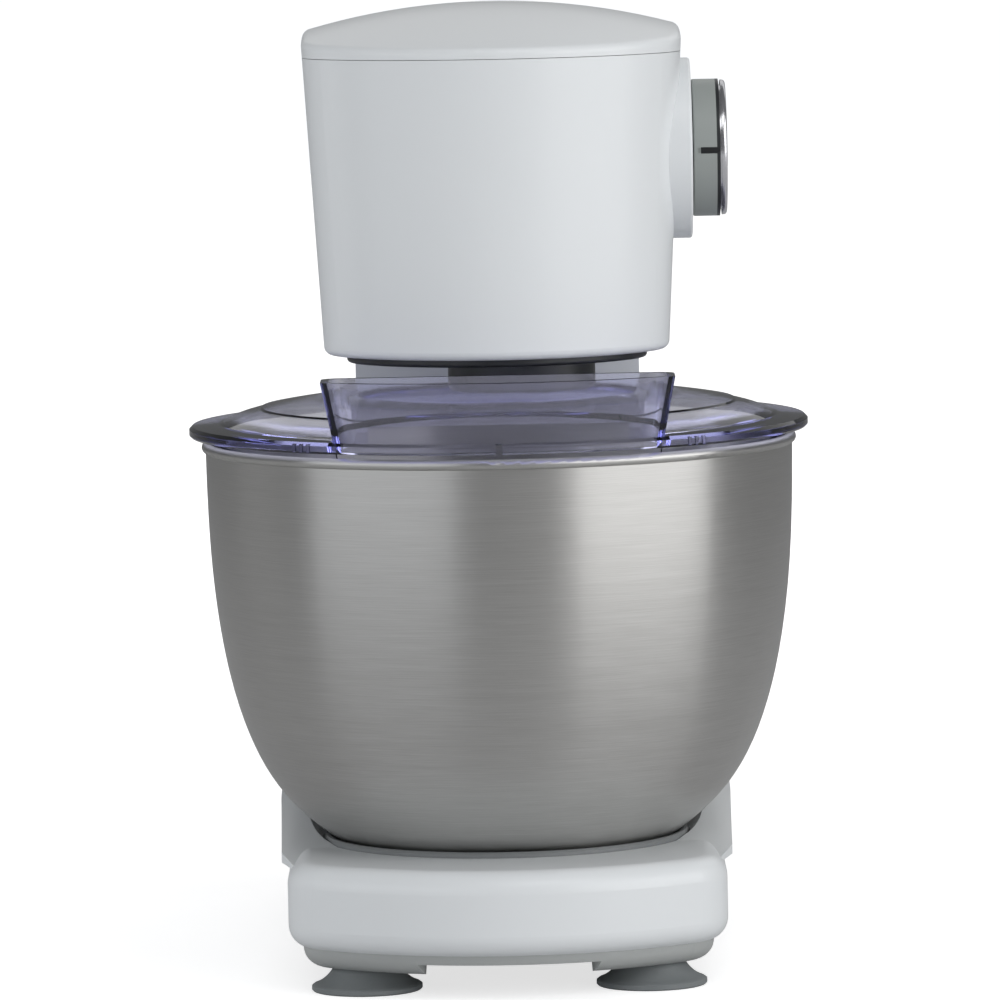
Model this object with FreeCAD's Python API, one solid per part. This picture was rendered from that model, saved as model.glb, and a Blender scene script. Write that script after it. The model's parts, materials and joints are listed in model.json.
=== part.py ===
"""Planetary stand mixer: tilting head, steel bowl, clear lid with a filling chute.

Millimetres. +Z is up, +X is the viewer's right with the front facing -Y, and the
origin is on the table under the middle of the whole object. Every piece is written
to parts/NAME.step.
"""
import FreeCAD, Part
import math
import os
from FreeCAD import Vector

# ---------------------------------------------------------------- driving dimensions
BOWL_Y = -46.0            # the bowl and the planetary drive share this upright axis
WALL = 3.0                # moulded plastic walls
RUN = 0.05                # radial clearance of a running fit

BASE_HALF_WIDTH = 78.7
BASE_FRONT_RADIUS = 107.0
BASE_REAR_Y = 160.0
BASE_SEAM_Z = 16.0        # white shell above, grey plate below
BASE_TOP_Z = 46.2
BASE_TOP_ROUND = 8.0
BASE_LOW_ROUND = 8.0
SEAM_INSET = 5.2          # the shell's rounded lower edge ends this far in
PLATE_LOW_Z = 8.5         # underside of the four corner bosses
PLATE_MIDDLE_Z = 12.6     # underside between the bosses
FOOT_RADIUS = 19.8
FOOT_NECK = 5.0
FOOT_X = 50.9
FOOT_FRONT_Y = BOWL_Y - 66.0
FOOT_REAR_Y = 132.0
RECESS_RADIUS = 67.0
RECESS_FLOOR_Z = 31.0
SEAT_Z = RECESS_FLOOR_Z + 0.5
SEAT_TOP_Z = 48.2
LUG_COUNT = 3
COVER_Y = BASE_REAR_Y - 2.0
INLET_Z = 36.0
POST_RADIUS = 4.2
BASE_SCREWS = [(side * 66.0, y, z) for y, z in ((-84.0, 10.2), (40.0, 10.8), (90.0, 10.8))
               for side in (-1, 1)]
COVER_SCREWS = [(x, z) for x in (-42.0, 42.0) for z in (29.0, 91.0)]

COLUMN_SECTIONS = ((40.0, 83.8), (75.0, 82.2), (120.0, 75.2), (180.0, 63.5))
COLUMN_FRONT_RADIUS = 112.5
WING_LOW_Z = 42.0         # underside of the skirts that run forward beside the bowl
WING_FRONT = -62.0        # where they end, behind the bowl's axis
WING_REAR = 128.0         # where they run into the column
FLANK_STEP = 0.3          # the skirts stand this far inside the column's sides
PIVOT_Y = BOWL_Y + 160.0
PIVOT_Z = 150.0
BARREL_RADIUS = 44.0
NECK_HALF_WIDTH = 53.5
CHEEK_GAP = 0.7
CREST_RADIUS = 28.0
PIN_RADIUS = 5.0
BUTTON_Y = PIVOT_Y + 9.0
BUTTON_Z = 90.0

BOWL_RIM_Z = 192.4
BOWL_BOTTOM_Z = 41.0
BOWL_WALL = 1.0
BEAD_RADIUS = 1.9

LID_RADIUS = 112.4
LID_FLANGE_Z = 194.4
LID_OPENING = 50.0
LID_SKIN = 2.2
CHUTE_TOP_Z = 219.6
CHUTE_WALL = 3.0

HEAD_BOTTOM_Z = 225.5
HEAD_SEAM_Z = 331.9
HEAD_TOP_Z = 350.0
CROWN_FRONT_RADIUS = 276.0
CROWN_REAR_RADIUS = 560.0
CROWN_ROUND = 3.0
HEAD_BOTTOM_HALF = 61.9
HEAD_FRONT_Y = BOWL_Y - 85.0
HEAD_REAR_Y = 158.5
HEAD_LEAN = math.tan(math.radians(3.2))
CAP_REAR_Y = BOWL_Y + 70.0

PLATE_BOTTOM_Z = 222.6
PLATE_SCREWS = [(side * x, y) for x, y in ((30.0, BOWL_Y + 62.0), (42.0, BOWL_Y + 100.0))
                for side in (-1, 1)]
CARRIER_OPENING = 45.6
ORBIT_RADIUS = 28.5
ORBIT_ANGLE = -72.2
RING_MODULE = 1.5
RING_TEETH = 54
PLANET_TEETH = 16
FINE_MODULE = 1.0
WHEEL_TEETH = 48
PINION_TEETH = 12
LAYSHAFT_OFFSET = FINE_MODULE * (WHEEL_TEETH + PINION_TEETH) / 2.0
SHAFT_RADIUS = 5.0
HUB_RADIUS = 10.0
PINION_BORE = 3.0
CARRIER_PHASE = 90.0 + 180.0 / WHEEL_TEETH
RING_Z = 231.0
GEAR_WIDTH = 8.0
DECK_Z = 245.0
LOW_GEAR_Z = 249.0
HIGH_GEAR_Z = 260.0
HIGH_GEAR_WIDTH = 6.0
COVER_Z = 269.0
HOUSING_RADIUS = 53.0
CUP_Z = HEAD_BOTTOM_Z + WALL + 1.6
PLANET_SHAFT_TOP = DECK_Z - 0.8
SOCKET_TOP = PLATE_BOTTOM_Z - 0.6

MOTOR_Y = BOWL_Y + 156.0
MOTOR_RADIUS = 33.0
MOTOR_BOTTOM_Z = 204.0
MOTOR_TOP_Z = 270.0
PULLEY_Z = 279.0
PULLEY_RADIUS = 45.0
MOTOR_PULLEY_RADIUS = 9.0
BELT_WIDTH = 9.0

KNOB_Y = BOWL_Y - 15.0
KNOB_Z = 296.3
KNOB_RADIUS = 24.7
DISC_RADIUS = 32.5
DISC_FACE_X = 71.3
DRUM_X = DISC_FACE_X + 0.5
DRUM_LENGTH = 9.6

X_AXIS = Vector(1, 0, 0)
Y_AXIS = Vector(0, 1, 0)
Z_AXIS = Vector(0, 0, 1)


# ---------------------------------------------------------------- shape helpers
def box(x0, x1, y0, y1, z0, z1):
    return Part.makeBox(x1 - x0, y1 - y0, z1 - z0, Vector(x0, y0, z0))


def rod(radius, x, y, z, length, axis=Z_AXIS):
    return Part.makeCylinder(radius, length, Vector(x, y, z), axis)


def tube(outer, inner, x, y, z, length, axis=Z_AXIS):
    return rod(outer, x, y, z, length, axis).cut(rod(inner, x, y, z, length, axis))


def prism(points, depth, place):
    """Extrude a closed polygon; place maps its two coordinates to a Vector."""
    corners = [place(a, b) for a, b in points]
    face = Part.Face(Part.makePolygon(corners + [corners[0]]))
    return face.extrude(depth)


def lathe(steps, y=BOWL_Y, x=0.0):
    """Turn a closed (radius, z) outline about an upright axis.

    A step is (r, z) for a straight run, or (r_mid, z_mid, r, z) for an arc.
    """
    start = Vector(steps[0][0], 0, steps[0][1])
    edges = []
    here = start
    for step in list(steps[1:]) + [steps[0]]:
        there = Vector(step[-2], 0, step[-1])
        if here.isEqual(there, 1e-6):
            continue
        if len(step) == 4:
            middle = Vector(step[0], 0, step[1])
            edges.append(Part.Arc(here, middle, there).toShape())
        else:
            edges.append(Part.makeLine(here, there))
        here = there
    solid = Part.Face(Part.Wire(edges)).revolve(Vector(0, 0, 0), Z_AXIS, 360)
    solid.translate(Vector(x, y, 0))
    return solid


def polar(radius, degrees, centre_y=BOWL_Y, z=0.0):
    angle = math.radians(degrees)
    return Vector(radius * math.cos(angle), centre_y + radius * math.sin(angle), z)


def round_edges(shape, radius, chosen):
    """Fillet the edges for which chosen(edge) is true."""
    return shape.makeFillet(radius, [edge for edge in shape.Edges if chosen(edge)])


def flat_at(z):
    """True for an edge that lies in the level plane z."""
    def test(edge):
        bounds = edge.BoundBox
        return abs(bounds.ZMin - z) < 0.01 and abs(bounds.ZMax - z) < 0.01
    return test


def nose_outline(half_width, nose, nose_y, corner, rear_y, rear_corner, z):
    """Plan outline with a round front, straight sides and rounded rear corners."""
    reach = nose - corner
    inset = half_width - corner
    drop = math.sqrt(reach * reach - inset * inset)
    corner_y = nose_y - drop
    touch = Vector(nose * inset / reach, nose_y - nose * drop / reach, z)
    turn = math.atan2(-drop, inset) / 2.0
    bend = Vector(inset + corner * math.cos(turn), corner_y + corner * math.sin(turn), z)
    tip = Vector(0, nose_y - nose, z)
    side_front = Vector(half_width, corner_y, z)
    side_rear = Vector(half_width, rear_y - rear_corner, z)
    short = rear_corner * (1.0 - math.sqrt(0.5))
    rear_bend = Vector(half_width - short, rear_y - short, z)
    rear_side = Vector(half_width - rear_corner, rear_y, z)

    def mirrored(point):
        return Vector(-point.x, point.y, point.z)

    edges = [
        Part.Arc(mirrored(touch), tip, touch).toShape(),
        Part.Arc(touch, bend, side_front).toShape(),
        Part.makeLine(side_front, side_rear),
        Part.Arc(side_rear, rear_bend, rear_side).toShape(),
        Part.makeLine(rear_side, mirrored(rear_side)),
        Part.Arc(mirrored(rear_side), mirrored(rear_bend), mirrored(side_rear)).toShape(),
        Part.makeLine(mirrored(side_rear), mirrored(side_front)),
        Part.Arc(mirrored(side_front), mirrored(bend), mirrored(touch)).toShape(),
    ]
    return Part.Wire(edges)


def gear_outline(teeth, root, tip, root_share, tip_share, first, centre, z):
    """Polygon of straight-flanked teeth; the shares are of one pitch angle."""
    pitch = 360.0 / teeth
    points = []
    for number in range(teeth):
        middle = first + number * pitch
        for radius, share in ((root, -root_share), (tip, -tip_share), (tip, tip_share),
                              (root, root_share)):
            angle = math.radians(middle + share * pitch / 2.0)
            points.append(centre + Vector(radius * math.cos(angle), radius * math.sin(angle), z))
    return Part.makePolygon(points + [points[0]])


def gear(teeth, module, first, centre, z, width, bore):
    """A spur gear with its first tooth at angle first, and room in its mesh."""
    pitch_radius = teeth * module / 2.0
    outline = gear_outline(teeth, pitch_radius - 1.25 * module, pitch_radius + 0.85 * module,
                           0.54, 0.20, first, centre, z)
    blank = Part.Face(outline).extrude(Vector(0, 0, width))
    return blank.cut(rod(bore, centre.x, centre.y, z, width))


def coil(radius, wire, x, y, z, length, turns, axis=Z_AXIS):
    """A coil spring drawn as its turns, tied by one straight strand."""
    pieces = []
    pitch = (length - 2.0 * wire) / (turns - 1)
    start = Vector(x, y, z)
    for turn in range(turns):
        centre = start + axis * (wire + turn * pitch)
        pieces.append(Part.makeTorus(radius, wire, centre, axis))
    side = X_AXIS if abs(axis.x) < 0.5 else Y_AXIS
    strand = start + side * radius + axis * wire
    pieces.append(Part.makeCylinder(wire * 0.8, length - 2.0 * wire, strand, axis))
    return pieces[0].multiFuse(pieces[1:])


def screw(x, y, z, length, head_radius=3.2, shank_radius=1.6, axis=Z_AXIS):
    """A screw with its head's outer face at (x, y, z), pointing along axis."""
    head = Part.makeCylinder(head_radius, 1.8, Vector(x, y, z), axis)
    shank = Part.makeCylinder(shank_radius, length, Vector(x, y, z), axis)
    recess = Part.makeCylinder(head_radius * 0.45, 1.0, Vector(x, y, z), axis)
    return head.fuse(shank).cut(recess)


def save(name, shape):
    """Write one node, which must be one or more sound closed solids."""
    shape = shape.removeSplitter()
    solids = shape.Solids
    if not solids or not shape.isValid():
        raise ValueError(name + " isn't a sound solid")
    result = solids[0] if len(solids) == 1 else Part.Compound(solids)
    result.exportStep("parts/" + name + ".step")
    print(name, len(solids), round(result.Volume / 1000.0, 2), "cm3")


os.makedirs("parts", exist_ok=True)


# ---------------------------------------------------------------- base
def base_outline(inset, z):
    return nose_outline(BASE_HALF_WIDTH - inset, BASE_FRONT_RADIUS - inset, BOWL_Y,
                        26.0 - inset, BASE_REAR_Y - inset, 18.0 - inset, z)


def base_prism(inset, low, high):
    face = Part.Face(base_outline(inset, low))
    return face.extrude(Vector(0, 0, high - low))


def column_outline(half_width, inset, z):
    """Plan of the column: hollow front round the bowl, narrow chamfers, round rear."""
    side = half_width - inset
    front_half = side - 5.0
    radius = COLUMN_FRONT_RADIUS + inset
    front_y = BOWL_Y + math.sqrt(radius * radius - front_half * front_half)
    rear_y = BASE_REAR_Y - inset
    rear = 14.0
    short = rear * (1.0 - math.sqrt(0.5))
    front_left = Vector(-front_half, front_y, z)
    front_right = Vector(front_half, front_y, z)
    shoulder_right = Vector(side, front_y + 26.0, z)
    shoulder_left = Vector(-side, front_y + 26.0, z)
    side_right = Vector(side, rear_y - rear, z)
    side_left = Vector(-side, rear_y - rear, z)
    rear_right = Vector(side - rear, rear_y, z)
    rear_left = Vector(rear - side, rear_y, z)
    edges = [
        Part.Arc(front_left, Vector(0, BOWL_Y + radius, z), front_right).toShape(),
        Part.makeLine(front_right, shoulder_right),
        Part.makeLine(shoulder_right, side_right),
        Part.Arc(side_right, Vector(side - short, rear_y - short, z), rear_right).toShape(),
        Part.makeLine(rear_right, rear_left),
        Part.Arc(rear_left, Vector(short - side, rear_y - short, z), side_left).toShape(),
        Part.makeLine(side_left, shoulder_left),
        Part.makeLine(shoulder_left, front_left),
    ]
    return Part.Wire(edges)


def column_form(inset):
    wires = [column_outline(half, inset, z) for z, half in COLUMN_SECTIONS]
    return Part.makeLoft(wires, True, True)


def cheek_profile(half_width):
    """A slab across X whose outline sweeps up from the skirts to a round crest."""
    def point(y, z):
        return Vector(-half_width, BOWL_Y + y, z)

    def crest(degrees):
        angle = math.radians(degrees)
        return Vector(-half_width, PIVOT_Y + CREST_RADIUS * math.cos(angle),
                      PIVOT_Z + CREST_RADIUS * math.sin(angle))

    front = Part.BSplineCurve()
    front.interpolate([point(WING_FRONT, 43.5), point(-20, 47.0), point(20, 55.5), point(60, 77),
                       point(95, 112), point(120, 141), crest(150)])
    edges = [
        Part.makeLine(point(WING_FRONT, WING_LOW_Z), point(WING_FRONT, 43.5)),
        front.toShape(),
        Part.Arc(crest(150), crest(100), crest(45)).toShape(),
        Part.Arc(crest(45), point(200, 137), point(206, 100)).toShape(),
        Part.makeLine(point(206, 100), point(206, WING_LOW_Z)),
        Part.makeLine(point(206, WING_LOW_Z), point(WING_FRONT, WING_LOW_Z)),
    ]
    return Part.Face(Part.Wire(edges)).extrude(Vector(2.0 * half_width, 0, 0))


def flanks(inset):
    """Room between the column's two leaning sides, run forward past the skirts."""
    sections = []
    for z, half_width in COLUMN_SECTIONS:
        half = half_width - FLANK_STEP - inset
        front = BOWL_Y + WING_FRONT - 1.0
        rear = BOWL_Y + WING_REAR + 1.0
        sections.append(Part.makePolygon([Vector(-half, front, z), Vector(half, front, z),
                                          Vector(half, rear, z), Vector(-half, rear, z),
                                          Vector(-half, front, z)]))
    return Part.makeLoft(sections, True, True)


def wing_forms(inset, low_z):
    """Skirts that run forward from the column beside the bowl, or their insides."""
    outline = [(58.0 + inset, WING_FRONT + inset), (75.5 - inset, WING_FRONT + inset),
               (81.4 - inset, -34.0), (83.4 - inset, 60.0), (83.4 - inset, WING_REAR),
               (58.0 + inset, WING_REAR)]
    bowl_room = lathe([(0, 30), (67 + inset, 30), (67 + inset, 47), (84 + inset, 64),
                       (97 + inset, 84), (105 + inset, 110), (109 + inset, 145), (0, 145)])
    below_top = cheek_profile(90.0).translated(Vector(0, 0, -inset))
    wings = []
    for side in (-1, 1):
        corners = [(side * x, y) for x, y in outline]
        wing = prism(corners, Vector(0, 0, 110.0), lambda x, y: Vector(x, BOWL_Y + y, low_z))
        wings.append(wing.cut(bowl_room).common(below_top).common(flanks(inset)))
    return wings


def make_base_shell():
    lowest = BASE_SEAM_Z - 0.7
    body = base_prism(0.0, lowest, BASE_TOP_Z)
    body = round_edges(body, BASE_TOP_ROUND, flat_at(BASE_TOP_Z))
    body = round_edges(body, BASE_LOW_ROUND, flat_at(lowest))
    body = body.cut(box(-100, 100, -200, 200, lowest - 1.0, BASE_SEAM_Z))

    cheeks = cheek_profile(90.0)
    column = column_form(0.0).common(cheeks)
    gap = NECK_HALF_WIDTH + CHEEK_GAP
    trough = rod(BARREL_RADIUS + 1.0, -gap, PIVOT_Y, PIVOT_Z, 2.0 * gap, X_AXIS)
    over_front = box(-gap, gap, BOWL_Y + 60.0, PIVOT_Y, 149.0, 190.0)
    over_rear = box(-gap, gap, PIVOT_Y, BASE_REAR_Y + 5.0, 114.0, 190.0)
    column = column.cut(trough.multiFuse([over_front, over_rear]))
    shell = body.multiFuse([column] + wing_forms(0.0, WING_LOW_Z))

    inner = base_prism(WALL, BASE_SEAM_Z + 6.0, BASE_TOP_Z - WALL)
    inner = round_edges(inner, BASE_TOP_ROUND - WALL, flat_at(BASE_TOP_Z - WALL))
    inner = inner.fuse(base_prism(SEAM_INSET + WALL, BASE_SEAM_Z - 1.0, BASE_SEAM_Z + 7.0))
    pocket = rod(RECESS_RADIUS + WALL, 0, BOWL_Y, RECESS_FLOOR_Z - WALL, 30.0)
    inner = inner.cut(pocket)
    hollow = column_form(WALL).common(box(-90, 90, BOWL_Y + 60.0, BASE_REAR_Y - WALL, 42.0, 101.5))
    hollow = hollow.cut(rod(BARREL_RADIUS + 1.0 + WALL, -90, PIVOT_Y, PIVOT_Z, 180.0, X_AXIS))
    behind_cover = box(-55.0, 55.0, BASE_REAR_Y - 12.0, BASE_REAR_Y - WALL, 23.0, 50.0)
    wing_rooms = wing_forms(WALL, WING_LOW_Z + WALL)
    throats = [box(side * 70.0 - 4.0, side * 70.0 + 4.0, BOWL_Y + 24.0, BOWL_Y + 70.0,
                   BASE_TOP_Z - WALL - 0.5, WING_LOW_Z + WALL + 2.0) for side in (-1, 1)]
    shell = shell.cut(inner.multiFuse([hollow, behind_cover] + wing_rooms + throats))
    shell = shell.cut(rod(RECESS_RADIUS, 0, BOWL_Y, RECESS_FLOOR_Z, 30.0))

    pin_hole = rod(PIN_RADIUS, -90.0, PIVOT_Y, PIVOT_Z, 180.0, X_AXIS)
    rear_window = box(-48.0, 48.0, BASE_REAR_Y - 4.0, BASE_REAR_Y + 1.0, 24.0, 96.0)
    bolt_hole = box(-5.4, 5.4, PIVOT_Y - 4.4, PIVOT_Y + 4.4, 98.0, 110.0)
    button_hole = rod(9.1, 60.0, BUTTON_Y, BUTTON_Z, 30.0, X_AXIS)
    shell = shell.cut(pin_hole.multiFuse([rear_window, bolt_hole, button_hole]))

    posts = []
    for x, y, _ in BASE_SCREWS:
        posts.append(tube(POST_RADIUS, 1.6, x, y, BASE_SEAM_Z, BASE_TOP_Z - WALL - BASE_SEAM_Z))
        web_x = math.copysign(73.0, x)
        posts.append(box(web_x - 3.6, web_x + 3.6, y - 1.2, y + 1.2, BASE_SEAM_Z + 8.0,
                         BASE_TOP_Z - WALL))
    rib = box(58.0, 61.0, BUTTON_Y - 13.0, BUTTON_Y + 13.0, 76.0, 103.0)
    rib = rib.cut(box(57.0, 62.0, BUTTON_Y - 4.4, BUTTON_Y + 4.4, 85.6, 94.4))
    return shell.multiFuse(posts + [rib])


def boss_form(side, low_y, high_y):
    """One corner boss with rounded upright corners."""
    x0, x1 = sorted((side * 29.5, side * 100.0))
    boss = box(x0, x1, low_y, high_y, 0.0, BASE_SEAM_Z)
    return boss.makeFillet(8.0, [edge for edge in boss.Edges if edge.BoundBox.ZLength > 10.0])


def make_base_plate():
    form = base_prism(SEAM_INSET, PLATE_LOW_Z, BASE_SEAM_Z)
    form = round_edges(form, 7.0, flat_at(PLATE_LOW_Z))
    bosses = [boss_form(side, low_y, high_y) for side in (-1, 1)
              for low_y, high_y in ((BOWL_Y - 97.5, FOOT_FRONT_Y + 34.0),
                                    (FOOT_REAR_Y - 34.0, BASE_REAR_Y - 1.0))]
    slab = box(-100, 100, -200, 200, PLATE_MIDDLE_Z, BASE_SEAM_Z)
    plate = form.common(slab.multiFuse(bosses))
    upper = base_prism(SEAM_INSET + 3.3, PLATE_MIDDLE_Z + 2.2, BASE_SEAM_Z + 1.0)
    plate = plate.cut(upper)
    holes = [rod(FOOT_NECK, x, y, 0.0, 30.0) for x, y in foot_places()]
    holes += [rod(1.7, x, y, 0.0, 30.0) for x, y, _ in BASE_SCREWS]
    holes += [rod(3.4, x, y, 0.0, z + 1.8) for x, y, z in BASE_SCREWS]
    plate = plate.cut(holes[0].multiFuse(holes[1:]))
    slots = [box(-24.0, 24.0, y, y + 3.0, 0.0, 30.0) for y in range(-20, 41, 10)]
    return plate.cut(slots[0].multiFuse(slots[1:]))


def foot_places():
    return [(side * FOOT_X, y) for y in (FOOT_FRONT_Y, FOOT_REAR_Y) for side in (-1, 1)]


def make_foot(x, y):
    """Suction cup: thin lip, wide shallow cone, and a neck with a head above the plate."""
    head_z = 15.2
    return lathe([(FOOT_RADIUS - 1.6, 0.0), (FOOT_RADIUS - 0.5, 0.0), (FOOT_RADIUS, 0.5),
                  (FOOT_RADIUS, 1.8), (FOOT_RADIUS - 0.8, 2.4), (15.6, 4.2, 12.6, 7.4),
                  (11.6, PLATE_LOW_Z),
                  (FOOT_NECK, PLATE_LOW_Z), (FOOT_NECK, head_z),
                  (6.4, head_z), (5.0, head_z + 3.0), (0.0, head_z + 3.0), (0.0, 5.0),
                  (11.0, 3.2, FOOT_RADIUS - 1.6, 0.0)], y, x)


def make_seat_ring():
    """Raised ring in the recess whose dished top follows the bowl, with three hooks."""
    ring = lathe([(51.0, RECESS_FLOOR_Z), (66.5, RECESS_FLOOR_Z), (66.5, SEAT_TOP_Z - 0.8),
                  (65.7, SEAT_TOP_Z), (64.6, SEAT_TOP_Z), (58.0, 43.2), (52.0, 39.0), (51.0, 39.0)])
    for number in range(LUG_COUNT):
        hook = sector(45.5, 52.0, SEAT_Z + 5.2, 2.3, number * 120.0 + 90.0, 30.0)
        ring = ring.fuse(hook)
    return ring


def sector(inner, outer, z, height, middle, spread, centre_y=BOWL_Y):
    """Part of a ring, spread degrees wide about the angle middle."""
    ring = tube(outer, inner, 0, centre_y, z, height)
    reach = 3.0 * outer
    half = math.radians(spread / 2.0)
    centre = math.radians(middle)
    corners = [(0, 0)]
    for angle in (centre - half, centre, centre + half):
        corners.append((reach * math.cos(angle), reach * math.sin(angle)))
    wedge = prism(corners, Vector(0, 0, height), lambda x, y: Vector(x, centre_y + y, z))
    return ring.common(wedge)


def make_rear_cover():
    panel = box(-47.8, 47.8, COVER_Y - 3.0, COVER_Y, 24.2, 95.8)
    holes = [rod(7.0, 0, COVER_Y - 8.0, INLET_Z, 10.0, Y_AXIS)]
    holes += [box(-30.0, 30.0, COVER_Y - 5.0, COVER_Y + 1.0, z, z + 2.6)
              for z in (60.0, 67.0, 74.0, 81.0)]
    holes += [rod(1.7, x, COVER_Y - 5.0, z, 10.0, Y_AXIS) for x, z in COVER_SCREWS]
    holes += [rod(3.4, x, COVER_Y - 1.8, z, 10.0, Y_AXIS) for x, z in COVER_SCREWS]
    lips = [box(-52.0, 52.0, BASE_REAR_Y - 5.5, BASE_REAR_Y - WALL, z, z + 6.0)
            for z in (26.0, 88.0)]
    return panel.multiFuse(lips).cut(holes[0].multiFuse(holes[1:]))


def make_cord_gland():
    outer = rod(7.0, 0, COVER_Y - 5.5, INLET_Z, 7.5, Y_AXIS)
    flange = rod(9.5, 0, COVER_Y, INLET_Z, 2.0, Y_AXIS)
    inner_flange = rod(9.5, 0, COVER_Y - 5.5, INLET_Z, 2.0, Y_AXIS)
    bore = rod(3.6, 0, COVER_Y - 10.0, INLET_Z, 20.0, Y_AXIS)
    return outer.multiFuse([flange, inner_flange]).cut(bore)


save("base_shell", make_base_shell())
save("base_plate", make_base_plate())
for (foot_x, foot_y), foot_name in zip(foot_places(), ("front_left", "front_right",
                                                       "rear_left", "rear_right")):
    save("suction_foot_" + foot_name, make_foot(foot_x, foot_y))
save("bowl_seat_ring", make_seat_ring())
save("rear_cover", make_rear_cover())
save("cord_gland", make_cord_gland())
save("base_screws", Part.Compound([screw(x, y, z, 15.0) for x, y, z in BASE_SCREWS]))
save("rear_cover_screws", Part.Compound([screw(x, COVER_Y, z, 8.0, axis=-Y_AXIS)
                                         for x, z in COVER_SCREWS]))


# ---------------------------------------------------------------- hinge and latch
def make_release_button():
    """Round push button whose stem ends in a 45 degree wedge above the bolt's lug."""
    head = rod(8.8, 74.0, BUTTON_Y, BUTTON_Z, 11.8, X_AXIS)
    head = round_edges(head, 1.5, lambda edge: edge.BoundBox.XMin > 85.7)
    collar = rod(10.6, 72.2, BUTTON_Y, BUTTON_Z, 2.4, X_AXIS)
    stem = prism([(76, 94), (76, 86), (10, 86), (2, 94)], Vector(0, 8.0, 0),
                 lambda x, z: Vector(x, BUTTON_Y - 4.0, z))
    return head.multiFuse([collar, stem])


def make_latch_bolt():
    """Upright bolt that rides in the arm's slot, with the lug that the wedge pushes."""
    bolt = box(-5.0, 5.0, PIVOT_Y - 4.0, PIVOT_Y + 4.0, 60.0, 108.6)
    lug = prism([(-5, 74), (10, 74), (10, 85.6), (2, 93.6), (-5, 93.6)], Vector(0, 9.5, 0),
                lambda x, z: Vector(x, PIVOT_Y + 4.0, z))
    return bolt.fuse(lug)


def make_latch_guide():
    """Bracket under the trough that guides the bolt and backs both springs."""
    block = box(-14.0, 14.0, PIVOT_Y - 12.0, PIVOT_Y + 4.0, 62.0, 72.0)
    legs = [box(x, x + 4.0, PIVOT_Y - 12.0, PIVOT_Y - 8.0, 30.0, 101.5) for x in (-14.0, 10.0)]
    floor = box(-14.0, 14.0, PIVOT_Y - 12.0, PIVOT_Y + 8.0, 36.0, 40.0)
    back = box(-14.0, 14.0, PIVOT_Y - 12.0, PIVOT_Y - 8.0, 36.0, 72.0)
    hole = box(-5.1, 5.1, PIVOT_Y - 4.1, PIVOT_Y + 4.1, 50.0, 80.0)
    return block.multiFuse(legs + [floor, back]).cut(hole)


def make_hinge_pin():
    pin = rod(PIN_RADIUS, -68.0, PIVOT_Y, PIVOT_Z, 136.0, X_AXIS)
    groove = tube(PIN_RADIUS + 1.0, PIN_RADIUS - 0.8, 66.5, PIVOT_Y, PIVOT_Z, 1.0, X_AXIS)
    return pin.cut(groove)


def make_hinge_bushes():
    inner = PIN_RADIUS + RUN
    start = NECK_HALF_WIDTH - 10.0
    right = tube(8.0, inner, start, PIVOT_Y, PIVOT_Z, 10.0, X_AXIS)
    left = tube(8.0, inner, -NECK_HALF_WIDTH, PIVOT_Y, PIVOT_Z, 10.0, X_AXIS)
    return Part.Compound([left, right])


save("release_button", make_release_button())
save("latch_bolt", make_latch_bolt())
save("latch_guide", make_latch_guide())
save("latch_spring", coil(3.6, 0.6, 0, PIVOT_Y, 40.2, 19.6, 6))
save("button_spring", coil(9.0, 0.7, 61.1, BUTTON_Y, BUTTON_Z, 11.0, 4, X_AXIS))
save("hinge_pin", make_hinge_pin())
save("hinge_bushes", make_hinge_bushes())
save("tilt_spring", coil(10.5, 1.6, -34.0, PIVOT_Y, PIVOT_Z, 68.0, 14, X_AXIS))


# ---------------------------------------------------------------- bowl and lid
def bowl_points(inset):
    """Points up the bowl's outside, or its inside when inset is the wall thickness."""
    outside = [(51.3, 41.0), (66.5, 50.5), (83.1, 67.0), (94.2, 88.8), (101.6, 118.0),
               (105.1, 147.0), (106.6, BOWL_RIM_Z - 3.0)]
    lean = (70.0, 40.0, 40.0, 22.0, 10.0, 4.0, 1.5)
    points = []
    for (radius, z), degrees in zip(outside, lean):
        tilt = math.radians(degrees)
        points.append(Vector(radius - inset * math.cos(tilt), 0, z + inset * math.sin(tilt)))
    return points


def make_bowl():
    outer = bowl_points(0.0)
    inner = bowl_points(BOWL_WALL)
    curves = []
    for points in (outer, inner):
        spline = Part.BSplineCurve()
        spline.interpolate(points)
        curves.append(spline.toShape())
    centre_low = Vector(0, 0, BOWL_BOTTOM_Z)
    centre_high = Vector(0, 0, inner[0].z)
    edges = [Part.makeLine(centre_low, outer[0]), curves[0],
             Part.makeLine(outer[-1], inner[-1]), curves[1],
             Part.makeLine(inner[0], centre_high), Part.makeLine(centre_high, centre_low)]
    face = Part.Face(Part.Wire(Part.__sortEdges__(edges)))
    bowl = face.revolve(Vector(0, 0, 0), Z_AXIS, 360)
    bead = Part.makeTorus(106.1, BEAD_RADIUS, Vector(0, 0, BOWL_RIM_Z - BEAD_RADIUS), Z_AXIS)
    bowl = bowl.fuse(bead)
    bowl.translate(Vector(0, BOWL_Y, 0))
    return bowl


def make_bowl_foot():
    """Foot ring under the bowl with three lugs that turn under the seat's hooks."""
    ring = tube(44.0, 40.0, 0, BOWL_Y, SEAT_Z, BOWL_BOTTOM_Z - SEAT_Z)
    for number in range(LUG_COUNT):
        ring = ring.fuse(sector(43.0, 50.4, SEAT_Z, 4.2, number * 120.0 + 90.0, 26.0))
    return ring


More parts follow.
